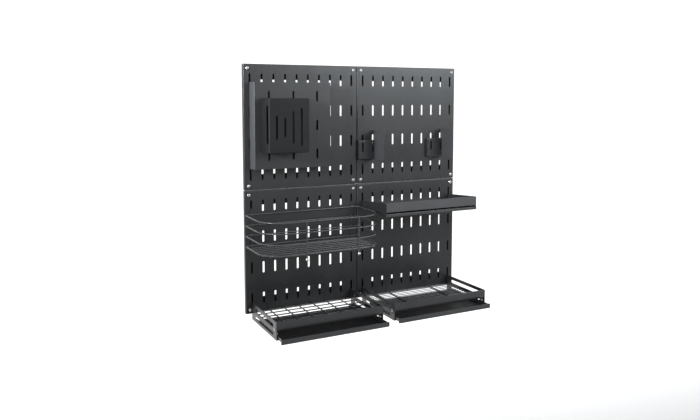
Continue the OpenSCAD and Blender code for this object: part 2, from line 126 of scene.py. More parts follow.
def slot_outline(u, v, width, length, along_v=True):
    """A slot with round ends, centred at u, v."""
    r = width / 2 - 0.0005
    du, dv = (width / 2, length / 2) if along_v else (length / 2, width / 2)
    return rect((u - du, u + du), (v - dv, v + dv), r)


def ring(x, z, inset, r, steps=6):
    """The rounded outline of a rectangle, moved in by inset."""
    return fillet(rect((x[0] + inset, x[1] - inset), (z[0] + inset, z[1] - inset), r), steps)


def loft(bm, rings):
    """Adds a closed shell through rings of equal count, capped at both ends."""
    loops = [[bm.verts.new(p) for p in r] for r in rings]
    n = len(loops[0])
    faces = [bm.faces.new(loops[0]), bm.faces.new(loops[-1])]
    for a, b in zip(loops, loops[1:]):
        for k in range(n):
            faces.append(bm.faces.new((a[k], a[(k + 1) % n], b[(k + 1) % n], b[k])))
    bmesh.ops.recalc_face_normals(bm, faces=faces)


def strips(bm, loops, material=0):
    """Joins each ring of vertices to the next with quads."""
    n = len(loops[0])
    for a, b in zip(loops, loops[1:]):
        for k in range(n):
            bm.faces.new((a[k], a[(k + 1) % n], b[(k + 1) % n], b[k])).material_index = material


def inside(p, loop):
    """Whether a point lies inside a flat loop."""
    hit = False
    for a, b in zip(loop, loop[1:] + loop[:1]):
        if (a.y > p.y) != (b.y > p.y) and p.x < (b.x - a.x) * (p.y - a.y) / (b.y - a.y) + a.x:
            hit = not hit
    return hit


def fill(bm, outer, holes):
    """Fills a flat sheet at constant Y, inside the outer ring of vertices and outside the holes."""
    loops = [outer] + holes
    verts = [v for loop in loops for v in loop]
    flat = [[Vector((v.co.x, v.co.z)) for v in loop] for loop in loops]
    boxes = [(min(p.x for p in f), max(p.x for p in f), min(p.y for p in f), max(p.y for p in f))
             for f in flat]
    edges, first = [], 0
    for loop in loops:
        edges += [(first + k, first + (k + 1) % len(loop)) for k in range(len(loop))]
        first += len(loop)
    corners = [p for f in flat for p in f]
    points, _, faces, origin, _, _ = geometry.delaunay_2d_cdt(corners, edges, [], 0, 1e-6)
    for face in faces:
        c = (points[face[0]] + points[face[1]] + points[face[2]]) / 3
        if not inside(c, flat[0]):
            continue
        if any(b[0] < c.x < b[1] and b[2] < c.y < b[3] and inside(c, f)
               for b, f in zip(boxes[1:], flat[1:])):
            continue
        bm.faces.new([verts[origin[k][0]] for k in face])


def arc(c, r, a0, a1, steps=4):
    """Points (d, h) on an arc round c, angles in degrees."""
    return [(c[0] + r * math.cos(math.radians(a0 + (a1 - a0) * s / steps)),
             c[1] + r * math.sin(math.radians(a0 + (a1 - a0) * s / steps))) for s in range(steps + 1)]


def to_object(bm, name):
    """Turns a bmesh in mm into an object in metres."""
    mesh = bpy.data.meshes.new(name)
    for v in bm.verts:
        v.co *= MM
    bm.to_mesh(mesh)
    bm.free()
    obj = bpy.data.objects.new(name, mesh)
    bpy.context.scene.collection.objects.link(obj)
    return obj


def applied(obj):
    """Replaces an object's mesh with the result of its modifiers."""
    bpy.context.view_layer.update()
    result = bpy.data.meshes.new_from_object(obj.evaluated_get(bpy.context.evaluated_depsgraph_get()))
    old = obj.data
    obj.modifiers.clear()
    obj.data = result
    bpy.data.meshes.remove(old)


def boolean(obj, other, operation):
    """Joins or cuts an object with another one, which is used up."""
    mod = obj.modifiers.new("bool", "BOOLEAN")
    mod.operation = operation
    mod.object = other
    mod.solver = "MANIFOLD"
    applied(obj)
    bpy.data.objects.remove(other, do_unlink=True)


WELD_DIST = 0.00002  # in metres
SHARP_ANGLE = 32  # edges sharper than this many degrees are bevelled


def build(name, adds, cuts=(), bevel=0.35, materials=None):
    """A sheet-metal piece: the union of the shapes in adds, less those in cuts, with its edges rounded.

    Each shape is a function that draws into a bmesh.
    """
    obj = None
    for add in adds:
        bm = bmesh.new()
        add(bm)
        part = to_object(bm, name)
        if obj is None:
            obj = part
        else:
            boolean(obj, part, "UNION")
    if cuts:
        bm = bmesh.new()
        for cut in cuts:
            cut(bm)
        boolean(obj, to_object(bm, name + ".cut"), "DIFFERENCE")
    bm = bmesh.new()
    bm.from_mesh(obj.data)
    bmesh.ops.remove_doubles(bm, verts=bm.verts, dist=WELD_DIST)
    bm.to_mesh(obj.data)
    bm.free()
    obj.data.materials.clear()
    for material in materials or (COAT, COAT_EDGE_HIGHLIGHT):
        obj.data.materials.append(material)
    mod = obj.modifiers.new("edges", "BEVEL")
    mod.width = bevel * MM
    mod.segments = 2
    mod.limit_method = "ANGLE"
    mod.angle_limit = math.radians(SHARP_ANGLE)
    # the bevels take material 1, the edge coat whose lighter tone paints a highlight on each edge
    mod.material = 1
    mod.use_clamp_overlap = True
    applied(obj)
    soften(obj, SHARP_ANGLE)
    return obj


def soften(obj, angle):
    """Smooth shading that keeps flat faces flat."""
    mesh = obj.data
    mesh.polygons.foreach_set("use_smooth", [True] * len(mesh.polygons))
    mesh.set_sharp_from_angle(angle=math.radians(angle))
    mod = obj.modifiers.new("normals", "WEIGHTED_NORMAL")
    mod.keep_sharp = True
    mod.weight = 80
    applied(obj)


def own(obj, body, slot_name, *nodes):
    """Puts a piece on its body and hides the CAD nodes it replaces; its slot name is not used."""
    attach(obj, body)
    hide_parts(*nodes)


def show_cad(node, material):
    """Shows a CAD piece as it is, in the given material."""
    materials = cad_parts[node].data.materials
    materials.clear()
    materials.append(material)


# ---------------------------------------------------------------- materials
def graph(name):
    """A new material, its node tree, its shader and the object coordinates."""
    material = bpy.data.materials.new(name)
    material.use_nodes = True
    tree = material.node_tree
    shader = tree.nodes["Principled BSDF"]
    coord = tree.nodes.new("ShaderNodeTexCoord")
    return material, tree, shader, coord.outputs["Object"]


def noise(tree, coord, scale, detail=3.0, rough=0.55, stretch=None):
    if stretch:
        mapping = tree.nodes.new("ShaderNodeMapping")
        mapping.inputs["Scale"].default_value = stretch
        tree.links.new(coord, mapping.inputs["Vector"])
        coord = mapping.outputs["Vector"]
    node = tree.nodes.new("ShaderNodeTexNoise")
    node.inputs["Scale"].default_value = scale
    node.inputs["Detail"].default_value = detail
    node.inputs["Roughness"].default_value = rough
    tree.links.new(coord, node.inputs["Vector"])
    return node.outputs["Fac"]


def remap(tree, value, lo, hi, to_lo, to_hi):
    """Maps the range lo..hi to to_lo..to_hi and holds what lies outside it."""
    node = tree.nodes.new("ShaderNodeMapRange")
    node.inputs["From Min"].default_value = lo
    node.inputs["From Max"].default_value = hi
    node.inputs["To Min"].default_value = to_lo
    node.inputs["To Max"].default_value = to_hi
    tree.links.new(value, node.inputs["Value"])
    return node.outputs["Result"]


def blend_colour(tree, factor, a, b):
    node = tree.nodes.new("ShaderNodeMix")
    node.data_type = "RGBA"
    tree.links.new(factor, node.inputs["Factor"])
    for socket, colour in (("A", a), ("B", b)):
        target = [s for s in node.inputs if s.name == socket and s.type == "RGBA"][0]
        if isinstance(colour, tuple):
            target.default_value = (*colour, 1.0)
        else:
            tree.links.new(colour, target)
    return [s for s in node.outputs if s.type == "RGBA"][0]


def math_node(tree, operation, a, b):
    node = tree.nodes.new("ShaderNodeMath")
    node.operation = operation
    for k, value in enumerate((a, b)):
        if isinstance(value, (int, float)):
            node.inputs[k].default_value = value
        else:
            tree.links.new(value, node.inputs[k])
    return node.outputs[0]


def bump(tree, shader, height, distance, strength, before=None):
    """Roughens the shader's normal by a height, on top of the bump before it."""
    node = tree.nodes.new("ShaderNodeBump")
    node.inputs["Strength"].default_value = strength
    node.inputs["Distance"].default_value = distance
    tree.links.new(height, node.inputs["Height"])
    if before is not None:
        tree.links.new(before, node.inputs["Normal"])
    tree.links.new(node.outputs["Normal"], shader.inputs["Normal"])
    return node.outputs["Normal"]


DUST = (0.085, 0.085, 0.088)


def powder_coat(name, dark, light, rough, peel=0.00006, dust=0.35, gloss=0.35, shine=0.5):
    """Black powder coat: orange peel, fine speckle, cloudy sheen and a little dust on what faces up."""
    material, tree, shader, coord = graph(name)
    cloud = noise(tree, coord, 9.0, 4.0)
    speckle = noise(tree, coord, 2600.0, 1.0, 0.4)
    smear = noise(tree, coord, 26.0, 5.0, 0.65, (1.0, 1.0, 0.35))
    tone = math_node(tree, "ADD", math_node(tree, "MULTIPLY", speckle, 0.45),
                     remap(tree, cloud, 0.3, 0.7, 0.0, 0.55))
    base = blend_colour(tree, tone, dark, light)
    normal = tree.nodes.new("ShaderNodeNewGeometry").outputs["Normal"]
    parts = tree.nodes.new("ShaderNodeSeparateXYZ")
    tree.links.new(normal, parts.inputs["Vector"])
    up = remap(tree, parts.outputs["Z"], 0.55, 1.0, 0.0, dust)
    patches = remap(tree, noise(tree, coord, 55.0, 5.0, 0.7), 0.35, 0.75, 0.1, 1.0)
    settled = math_node(tree, "MULTIPLY", up, patches)
    base = blend_colour(tree, settled, base, DUST)
    tree.links.new(base, shader.inputs["Base Color"])
    sheen = remap(tree, smear, 0.3, 0.75, rough - 0.05, rough + 0.07)
    sheen = math_node(tree, "ADD", sheen, math_node(tree, "MULTIPLY", settled, 0.3))
    tree.links.new(sheen, shader.inputs["Roughness"])
    shader.inputs["IOR"].default_value = 1.5
    shader.inputs["Specular IOR Level"].default_value = shine
    shader.inputs["Coat Weight"].default_value = gloss
    shader.inputs["Coat Roughness"].default_value = 0.22
    first = bump(tree, shader, noise(tree, coord, 620.0, 2.0, 0.5), peel, 0.8)
    bump(tree, shader, speckle, peel * 0.4, 0.6, first)
    return material


def metal(name, dark, light, rough, grain, stretch):
    """Bare metal with turning or drawing lines along the stretched axis."""
    material, tree, shader, coord = graph(name)
    lines = noise(tree, coord, grain, 4.0, 0.6, stretch)
    cloud = noise(tree, coord, 260.0, 3.0)
    base = blend_colour(tree, remap(tree, cloud, 0.3, 0.7, 0.0, 1.0), dark, light)
    tree.links.new(base, shader.inputs["Base Color"])
    shader.inputs["Metallic"].default_value = 1.0
    tree.links.new(remap(tree, lines, 0.25, 0.75, rough - 0.07, rough + 0.09), shader.inputs["Roughness"])
    bump(tree, shader, lines, 0.00003, 0.6)
    return material


def moulded(name, dark, light):
    """Moulded plastic that lets a little light in."""
    material, tree, shader, coord = graph(name)
    cloud = noise(tree, coord, 420.0, 3.0)
    base = blend_colour(tree, remap(tree, cloud, 0.3, 0.7, 0.0, 1.0), dark, light)
    tree.links.new(base, shader.inputs["Base Color"])
    tree.links.new(remap(tree, cloud, 0.3, 0.7, 0.38, 0.5), shader.inputs["Roughness"])
    shader.inputs["Subsurface Weight"].default_value = 0.08
    shader.inputs["Subsurface Scale"].default_value = 0.0015
    bump(tree, shader, noise(tree, coord, 1500.0, 2.0), 0.00003, 0.5)
    return material


COAT = powder_coat("black_coat", (0.014, 0.0146, 0.0156), (0.03, 0.031, 0.0326), 0.4)
# The rounded edges' coat: a lighter, glossier copy of the black coat. Its gloss is a finish; its lighter
# tone is a painted highlight along every edge.
COAT_EDGE_HIGHLIGHT = powder_coat("black_coat_edge_painted_highlight", (0.034, 0.035, 0.0365), (0.062, 0.063, 0.065), 0.3,
                        peel=0.00003, dust=0.6, gloss=0.5)
WIRE = powder_coat("black_wire_coat", (0.045, 0.046, 0.048), (0.075, 0.076, 0.078), 0.27,
                   peel=0.00003, dust=0.3, gloss=0.6)
STEEL = metal("bright_steel", (0.62, 0.62, 0.61), (0.86, 0.86, 0.85), 0.27, 900.0, (1.0, 1.0, 6.0))
ZINC = metal("zinc_sleeve", (0.42, 0.43, 0.45), (0.62, 0.63, 0.65), 0.42, 700.0, (1.0, 6.0, 1.0))
# A darker, matt copy of the black coat for the holder box: the matt sheen is a finish, the darker tone is
# painted shade.
COAT_MATT_SHADE = powder_coat("black_matt_coat_painted_shade", (0.008, 0.0085, 0.0094), (0.016, 0.0165, 0.018), 0.5,
                        gloss=0.0, shine=0.22)
# A lighter copy of the black coat with nearly the same sheen, also used on the trays and rack fronts; on
# the brackets' tall plates its lighter tone is painted light.
COAT_LIGHTER = powder_coat("black_coat_lighter", (0.038, 0.039, 0.041), (0.058, 0.0595, 0.062), 0.38)
# A paler copy of the black coat, used on the shelf deck; on the lid rack's side flanges its pale tone is
# painted light.
COAT_PALE = powder_coat("black_coat_pale", (0.062, 0.0635, 0.0665), (0.088, 0.09, 0.0935), 0.38)
# A much darker, matt copy of the black coat for the trays' floors: painted shade inside the trays.
COAT_PAN_SHADE = powder_coat("black_pan_painted_shade", (0.006, 0.0062, 0.0068), (0.012, 0.0125, 0.0135), 0.5,
                       dust=0.04, gloss=0.0, shine=0.25)
NYLON = moulded("white_nylon", (0.72, 0.72, 0.69), (0.82, 0.82, 0.79))


def recoat(obj, material, wanted):
    """Gives the faces that wanted(centre in mm, normal) picks a material of their own."""
    obj.data.materials.append(material)
    for polygon in obj.data.polygons:
        if wanted(polygon.center / MM, polygon.normal):
            polygon.material_index = len(obj.data.materials) - 1
    return obj


# ---------------------------------------------------------------- shapes shared by several pieces
def block(x, y, z, r=0.0, axis="Y"):
    """A box between three spans, with its edges along the axis rounded by r."""
    u, v, w = {"X": (y, z, x), "Y": (x, z, y), "Z": (x, y, z)}[axis]
    return lambda bm: prism(bm, rect(u, v, r), axis, w)


def shape(outline, axis, span):
    return lambda bm: prism(bm, outline, axis, span)


def slot_y(x, z, width, length, y):
    return shape(slot_outline(x, z, width, length), "Y", y)


def seat(t, w):
    """How far above a round slot end of width w a sheet of thickness t comes to rest."""
    return w / 2 - math.sqrt(w * w - t * t) / 2 + 0.05


def hook(x, y, z, sheet):
    """A hook through a sheet whose front is at y, over the slot floor at z."""
    low = z + seat(HOOK_T, SLOT_W)
    leg = y + sheet + HOOK_CLEAR
    root = y - HOOK_ROOT
    outline = [(root, low), (leg, low), (leg, low - HOOK_DROP, 0.8), (leg + HOOK_T, low - HOOK_DROP, 0.8),
               (leg + HOOK_T, low + HOOK_NECK, 1.6), (root, low + HOOK_NECK)]
    return shape(outline, "X", (x - HOOK_T / 2, x + HOOK_T / 2))


def board_hook(x, level, j):
    """A hook in slot row j of a panel."""
    return hook(x, FACE_Y, slot_floor(level, j), PANEL_T)


def cup(x, y, z, t, corner, bend):
    """An open-topped pressed box with rounded corners and floor bend."""
    def draw(bm):
        outer = arc((bend, z[0] + bend), bend, 270, 180) + [(0.0, z[1])]
        inner_r = max(bend - t, 0.4)
        inner = [(t, z[1])] + arc((t + inner_r, z[0] + t + inner_r), inner_r, 180, 270)
        rings = []
        for d, h in outer + inner:
            r = max(corner - d, 0.5)
            rings.append([(p.x, p.y, h) for p in ring(x, y, d, r)])
        loft(bm, rings)
    return draw


# ---------------------------------------------------------------- panels
def panel(name, side, level):
    """A pan of bent sheet: face with slots, walls, and lips along the wall, all with rounded edges."""
    lo, hi = extents(name)
    x, z = (lo[0], hi[0]), (lo[2], hi[2])
    bend, inner, edge = 2.2, 0.7, 0.3
    bm = bmesh.new()

    def rim(d, y):
        r = 3.0 if d > 10 else max(PANEL_R - d, 0.6)
        return [bm.verts.new((p.x, y, p.y)) for p in ring(x, z, d, r)]

    profile = arc((bend, FACE_Y + bend), bend, 270, 180) + arc((bend, -bend), bend, 180, 90)
    outside = [rim(d, y) for d, y in profile]
    lip = [rim(LIP_W, 0.0), rim(LIP_W, -PANEL_T)]
    within = arc((PANEL_T + inner, -PANEL_T - inner), inner, 90, 180, 3)
    within += arc((PANEL_T + inner, FACE_Y + PANEL_T + inner), inner, 180, 270, 3)
    within = [rim(d, y) for d, y in within]
    strips(bm, outside)
    # the lips' inner edges and, further down, the rounded rims of every opening take material 1, the edge
    # coat with its painted highlight
    strips(bm, lip, 1)
    strips(bm, within)

    def hole(u, v, width, length, y0, y1):
        """The rounded walls of one opening from y0 to y1. Returns its two outer rings."""
        quarter = (0, math.pi / 4, math.pi / 2)
        steps = [(edge * (1 - math.sin(a)), edge * (1 - math.cos(a))) for a in quarter]
        sizes = [(e, y0 + h) for e, h in steps] + [(e, y1 - h) for e, h in reversed(steps)]
        loops = []
        for e, y in sizes:
            outline = fillet(slot_outline(u, v, width + 2 * e, length + 2 * e))
            loops.append([bm.verts.new((p.x, y, p.y)) for p in outline])
        strips(bm, loops[:3], 1)
        strips(bm, loops[2:4], 0)
        strips(bm, loops[3:], 1)
        return loops[0], loops[-1]

    slots = [hole(col(side, i), row(level, j), SLOT_W, SLOT_LEN, FACE_Y, FACE_Y + PANEL_T)
             for i in range(COLUMNS) for j in range(ROWS)]
    corners = [(cx, cz) for cx in (x[0] + SCREW_IN, x[1] - SCREW_IN)
               for cz in (z[0] + SCREW_IN, z[1] - SCREW_IN)]
    round_hole = (SCREW_HOLE, SCREW_HOLE + 0.002)
    front = [hole(cx, cz, *round_hole, FACE_Y, FACE_Y + PANEL_T) for cx, cz in corners]
    back = [hole(cx, cz, *round_hole, -PANEL_T, 0.0) for cx, cz in corners]
    fill(bm, outside[0], [h[0] for h in slots + front])
    fill(bm, within[-1], [h[1] for h in slots + front])
    fill(bm, outside[-1], [lip[0]] + [h[1] for h in back])
    fill(bm, within[0], [lip[1]] + [h[0] for h in back])
    bmesh.ops.recalc_face_normals(bm, faces=bm.faces)
    obj = to_object(bm, name + ".sheet")
    obj.data.materials.append(COAT)
    obj.data.materials.append(COAT_EDGE_HIGHLIGHT)
    soften(obj, 40)
    own(obj, "board", "black_coat", name)


for panel_name, panel_side, panel_level in (("panel_upper_left", -1, 1), ("panel_upper_right", 1, 1),
                                            ("panel_lower_left", -1, -1), ("panel_lower_right", 1, -1)):
    panel(panel_name, panel_side, panel_level)


# ---------------------------------------------------------------- screws
def lathe_screw(bm, base, axis, d, head_d, head_h, length, neck, neck_d, pitch):
    """A domed hexagon-socket screw. base is the head's underside, axis points into the hole."""
    axis = Vector(axis)
    side = axis.orthogonal().normalized()
    up = axis.cross(side)
    around = 36

    def point(r, along, k):
        a = 2 * math.pi * k / around
        return Vector(base) + axis * along + side * (r * math.cos(a)) + up * (r * math.sin(a))

    flats = head_d * 0.2 * 0.93

    def hexagon(k):
        a = (2 * math.pi * k / around) % (math.pi / 3) - math.pi / 6
        return flats / math.cos(a)

    # the socket, from its floor up to its chamfered mouth: share of the hexagon, growth, share of the head
    rings = [[point(hexagon(k) * share + grow, -head_h * height, k) for k in range(around)]
             for share, grow, height in ((0.96, 0, 0.4), (1, 0, 0.46), (1, 0, 0.93), (1, 0.12, 0.97))]
    dome, brim = head_d / 2, 0.35
    for s in range(1, 10):
        a = math.radians(18 + 72 * s / 9)
        r = dome * math.sin(a)
        along = -brim - (head_h - brim) * math.cos(a) ** 0.85
        rings.append([point(max(r, hexagon(k) + 0.2), along, k) for k in range(around)])
    rings.append([point(dome, -0.3, k) for k in range(around)])
    rings.append([point(dome - 0.25, 0.0, k) for k in range(around)])
    # the plain neck, then a thread that tapers to a point if there is a neck
    if neck:
        rings.append([point(neck_d / 2, 0.0, k) for k in range(around)])
        rings.append([point(neck_d / 2, neck, k) for k in range(around)])
    steps = max(4, int((length - neck) / pitch * 6))
    for s in range(steps + 1):
        along = neck + (length - neck) * s / steps
        taper = min(1.0, (length - along) / 5.0 + 0.12) if neck else 1.0
        loop = []
        for k in range(around):
            phase = ((along / pitch) - k / around) % 1.0
            ridge = max(0.0, 1.0 - abs(phase - 0.5) * 3.2)
            core = 0.72 + 0.28 * ridge
            loop.append(point(d / 2 * core * taper, along, k))
        rings.append(loop)
    loft(bm, rings)


def screws(name, places, d, head_d, head_h, length, neck, neck_d, pitch, body):
    """One piece with a screw at each place, which is a head's underside and an axis."""
    bm = bmesh.new()
    for base, axis in places:
        lathe_screw(bm, base, axis, d, head_d, head_h, length, neck, neck_d, pitch)
    obj = to_object(bm, name + ".turned")
    obj.data.materials.append(STEEL)
    soften(obj, 40)
    own(obj, body, "bright_steel", name)


screw_out = PANEL_W / 2 - SCREW_IN
wall_places = [((side * PANEL_MID + cx * screw_out, FACE_Y, level * PANEL_MID + cz * screw_out), (0, 1, 0))
               for side in (-1, 1) for level in (-1, 1) for cx in (-1, 1) for cz in (-1, 1)]
screws("wall_screws", wall_places, d=5.0, head_d=8.5, head_h=3.0, length=40.0, neck=12.0, neck_d=5.6,
       pitch=2.3, body="board")
show_cad("screw_spacers", ZINC)


# ---------------------------------------------------------------- lid rack, holder box
lo, hi = extents("lid_rack_plate")
lid_x, lid_y, lid_z = (lo[0], hi[0]), lo[1], (lo[2], hi[2])
lid_mid_x, lid_mid_z = (lid_x[0] + lid_x[1]) / 2, (lid_z[0] + lid_z[1]) / 2
lip_x = col(-1, 6) - HOOK_T / 2
lid_channel = [(lip_x, HANG_Y), (lid_x[1], HANG_Y, 1.8), (lid_x[1], lid_y, 2.4), (lid_x[0], lid_y, 2.4),
               (lid_x[0], HANG_Y), (lid_x[0] + HOOK_T, HANG_Y), (lid_x[0] + HOOK_T, lid_y + SHEET, 0.6),
               (lid_x[1] - HOOK_T, lid_y + SHEET, 0.6), (lid_x[1] - HOOK_T, HANG_Y - SHEET, 0.4),
               (lip_x, HANG_Y - SHEET)]
lid_cuts = [slot_y(lid_mid_x + i * LID_PITCH_X, lid_mid_z + j * LID_PITCH_Z, SLOT_W, LID_SLOT_LEN,
                   (lid_y - 1, lid_y + SHEET + 1)) for i in (-1, 0, 1) for j in (-1, 0, 1)]
lid_hooks = [board_hook(col(-1, i), 1, j) for i in (0, 6) for j in (0, 2)]
# the lid rack's side flanges take the pale coat: painted light on them
own(recoat(build("lid_rack.sheet", [shape(lid_channel, "Z", lid_z)] + lid_hooks, lid_cuts, 0.4), COAT_PALE,
           lambda c, n: abs(n.x) > 0.9 and (c.x < lid_x[0] + 0.5 or c.x > lid_x[1] - 0.5)),
    "lid_rack", "black_coat", "lid_rack_plate")

lo, hi = extents("holder_box")
hold_x, hold_z = (lo[0], hi[0]), (lo[2], hi[2])
hold_y = (lo[1], lid_y - 0.1)
hold_mid_x, hold_mid_z = (hold_x[0] + hold_x[1]) / 2, (hold_z[0] + hold_z[1]) / 2
hold_h = hold_z[1] - hold_z[0]
HOLD_SLOT_W, HOLD_PITCH, HOLD_SHARES = 5.5, 20.5, (0.44, 0.35, 0.58, 0.7)
hold_cuts = [slot_y(hold_mid_x + (i - 1.5) * HOLD_PITCH, hold_mid_z - 4, HOLD_SLOT_W, share * hold_h,
                    (hold_y[0] - 1, hold_y[0] + SHEET + 1)) for i, share in enumerate(HOLD_SHARES)]
hold_cuts.append(shape(slot_outline(hold_y[0] + 12, hold_mid_z + 2, 14, hold_h - 36), "X",
                       (hold_x[0] - 1, hold_x[1] + 1)))
lid_slot_floor = lid_mid_z - LID_SLOT_LEN / 2
hold_hooks = [hook(lid_mid_x + i * LID_PITCH_X, lid_y, lid_slot_floor + j * LID_PITCH_Z, SHEET)
              for i in (-1, 0) for j in (0, 1)]
# the holder takes the darker matt coat, whose darker tone paints shade on it
own(build("holder.sheet", [cup(hold_x, hold_y, hold_z, SHEET, 2.6, 2.2)] + hold_hooks, hold_cuts, 0.4,
          (COAT_MATT_SHADE, COAT_EDGE_HIGHLIGHT)),
    "holder", "black_coat", "holder_box")


# ---------------------------------------------------------------- angle brackets
BASE_LEFT, BASE_OUT, BASE_H = 16, 8, 50
TAB_H, TAB_OVER, TAB_GAP = 24, 2.5, 5


def bracket(node, body, column):
    """A base plate with two hook tabs lanced out of it and a tall plate on its right."""
    lo, hi = extents(node)
    tabs = [col(1, column), col(1, column + 1)]
    x = (tabs[0] - BASE_LEFT, tabs[1] + HOOK_T / 2)
    base_y = FACE_Y - BASE_OUT
    z = (lo[2], lo[2] + BASE_H)
    tab_top = slot_floor(1, 2) + HOOK_NECK + TAB_OVER
    tab_z = (tab_top - TAB_H, tab_top)
    channel = [(HANG_Y, z[0]), (base_y, z[0], 2.6), (base_y, z[1], 2.6), (HANG_Y, z[1]),
               (HANG_Y, z[1] - SHEET), (base_y + SHEET, z[1] - SHEET, 1.1),
               (base_y + SHEET, z[0] + SHEET, 1.1), (HANG_Y, z[0] + SHEET)]
    side = [(lo[1], lo[2], 5), (HANG_Y, lo[2], 0.6), (HANG_Y, hi[2], 0.6), (lo[1], hi[2], 5)]
    adds = [shape(channel, "X", (x[0], x[1])),
            block((x[0], x[0] + SHEET), (base_y + 0.7, HANG_Y), z, 0, "X"),
            shape(side, "X", (x[1], x[1] + HOOK_T))]
    for tab in tabs:
        adds.append(block((tab - HOOK_T / 2, tab + HOOK_T / 2), (base_y, HANG_Y), tab_z, 0, "X"))
        adds.append(board_hook(tab, 1, 2))
    through = (base_y - 1, base_y + SHEET + 1)
    cuts = [block((tab - HOOK_T / 2 - TAB_GAP, tab - HOOK_T / 2), through, tab_z, 0.8) for tab in tabs]
    # the tall plate's side faces take the lighter coat: painted light on them
    plate = recoat(build(body + ".sheet", adds, cuts, 0.4), COAT_LIGHTER,
                   lambda c, n: abs(n.x) > 0.9 and c.x > x[1] - 0.5)
    own(plate, body, "black_coat", node)


bracket("bracket_left", "left_bracket", 0)
bracket("bracket_right", "right_bracket", 7)


# ---------------------------------------------------------------- wire work
# a wire's domed end: the way back along the wire and the radius, as shares of the wire's own
WIRE_END = ((0.0, 0.62), (0.14, 0.9), (0.3, 1.0))


def wire(bm, path, d, closed=False, around=14):
    """Adds a round wire along a path, with domed ends where it is open."""
    pts = [Vector(p) for p in path]
    n = len(pts)
    loops = []
    up = None
    for k in range(n):
        if closed:
            tangent = (pts[(k + 1) % n] - pts[k - 1]).normalized()
        else:
            tangent = (pts[min(k + 1, n - 1)] - pts[max(k - 1, 0)]).normalized()
        if up is None:
            up = tangent.orthogonal().normalized()
        up = (up - tangent * up.dot(tangent)).normalized()
        side = tangent.cross(up)

        def loop(centre, r):
            return [bm.verts.new(centre + (up * math.cos(a) + side * math.sin(a)) * r)
                    for a in (2 * math.pi * s / around for s in range(around))]

        if not closed and k == 0:
            loops += [loop(pts[k] + tangent * back * d, d / 2 * r) for back, r in WIRE_END]
        elif not closed and k == n - 1:
            loops += [loop(pts[k] - tangent * back * d, d / 2 * r) for back, r in reversed(WIRE_END)]
        else:
            loops.append(loop(pts[k], d / 2))
    faces = []
    pairs = list(zip(loops, loops[1:])) + ([(loops[-1], loops[0])] if closed else [])
    for a, b in pairs:
        for s in range(around):
            faces.append(bm.faces.new((a[s], a[(s + 1) % around], b[(s + 1) % around], b[s])))
    if not closed:
        faces += [bm.faces.new(loops[0]), bm.faces.new(loops[-1])]
    bmesh.ops.recalc_face_normals(bm, faces=faces)


def straight(bm, a, b, d):
    """Adds a straight wire from a to b."""
    a, b = Vector(a), Vector(b)
    wire(bm, [a, (a + b) / 2, b], d)


def weld(bm, at, size):
    """Adds a small flattened weld nugget."""
    made = bmesh.ops.create_icosphere(bm, subdivisions=2, radius=1.0)
    for v in made["verts"]:
        lump = 1.0 + 0.09 * math.sin(v.co.x * 7 + at[0]) * math.cos(v.co.y * 6 + at[1])
        v.co = Vector(at) + Vector((v.co.x * size[0], v.co.y * size[1], v.co.z * size[2])) * lump


def wires(name, draw, body, *nodes):
    """A piece of welded wire, drawn into a bmesh by draw."""
    bm = bmesh.new()
    draw(bm)
    obj = to_object(bm, name)
    obj.data.materials.append(WIRE)
    soften(obj, 60)
    own(obj, body, "black_coat", *nodes)


lo, hi = extents("basket_hoops")
WIRE_D = 3.0
hoop_x, hoop_y = (lo[0] + WIRE_D / 2, hi[0] - WIRE_D / 2), (lo[1] + WIRE_D / 2, hi[1] - WIRE_D / 2)
HOOP_PITCH, HOOPS = 25.0, 4
FRONT_R, BACK_R = 60.0, 8.0
hoop_z = [hi[2] - WIRE_D / 2 - HOOP_PITCH * k for k in range(HOOPS)]
hoop_mid, hoop_half = (hoop_x[0] + hoop_x[1]) / 2, (hoop_x[1] - hoop_x[0]) / 2
upright_x = [hoop_mid + share * hoop_half for share in (-0.35, 0.53)]
strip_x = (col(-1, 0), col(-1, 9))


def hoop_path(z):
    corners = [(hoop_x[0], hoop_y[0], FRONT_R), (hoop_x[1], hoop_y[0], FRONT_R),
               (hoop_x[1], hoop_y[1], BACK_R), (hoop_x[0], hoop_y[1], BACK_R)]
    return [(p.x, p.y, z) for p in fillet(corners, 12)]


def draw_hoops(bm):
    for z in hoop_z:
        wire(bm, hoop_path(z), WIRE_D, closed=True)
        for x in upright_x:
            weld(bm, (x, hoop_y[0] - WIRE_D * 0.5, z), (1.5, 0.9, 1.7))
        for x in strip_x:
            weld(bm, (x, hoop_y[1] + WIRE_D * 0.38, z + 1.35), (2.4, 0.8, 0.9))
            weld(bm, (x, hoop_y[1] + WIRE_D * 0.38, z - 1.35), (2.4, 0.8, 0.9))


def floor_half(y):
    """Half the basket's width at y, less in the rounded front corners."""
    past = hoop_y[0] + FRONT_R - y
    return hoop_half if past <= 0 else hoop_half - FRONT_R + math.sqrt(FRONT_R * FRONT_R - past * past)


def draw_basket_floor(bm):
    z = hoop_z[-1] - WIRE_D
    step = (hoop_y[1] - hoop_y[0]) / 8
    for i in range(1, 8):
        y = hoop_y[1] - i * step
        half = floor_half(y)
        straight(bm, (hoop_mid - half, y, z), (hoop_mid + half, y, z), WIRE_D)
        for end in (-1, 1):
            weld(bm, (hoop_mid + end * (half - 0.3), y, z + WIRE_D * 0.5), (1.5, 1.6, 0.8))
        for x in upright_x:
            weld(bm, (x, y, z - WIRE_D * 0.47), (1.7, 1.7, 0.8))
    under = z - WIRE_D * 0.9
    for x in upright_x:
        straight(bm, (x, hoop_y[1], under), (x, hoop_y[0] - WIRE_D / 2, under), WIRE_D)


def draw_uprights(bm):
    lo, hi = extents("basket_uprights")
    for x in upright_x:
        straight(bm, (x, hoop_y[0] - WIRE_D, lo[2]), (x, hoop_y[0] - WIRE_D, hi[2]), WIRE_D)


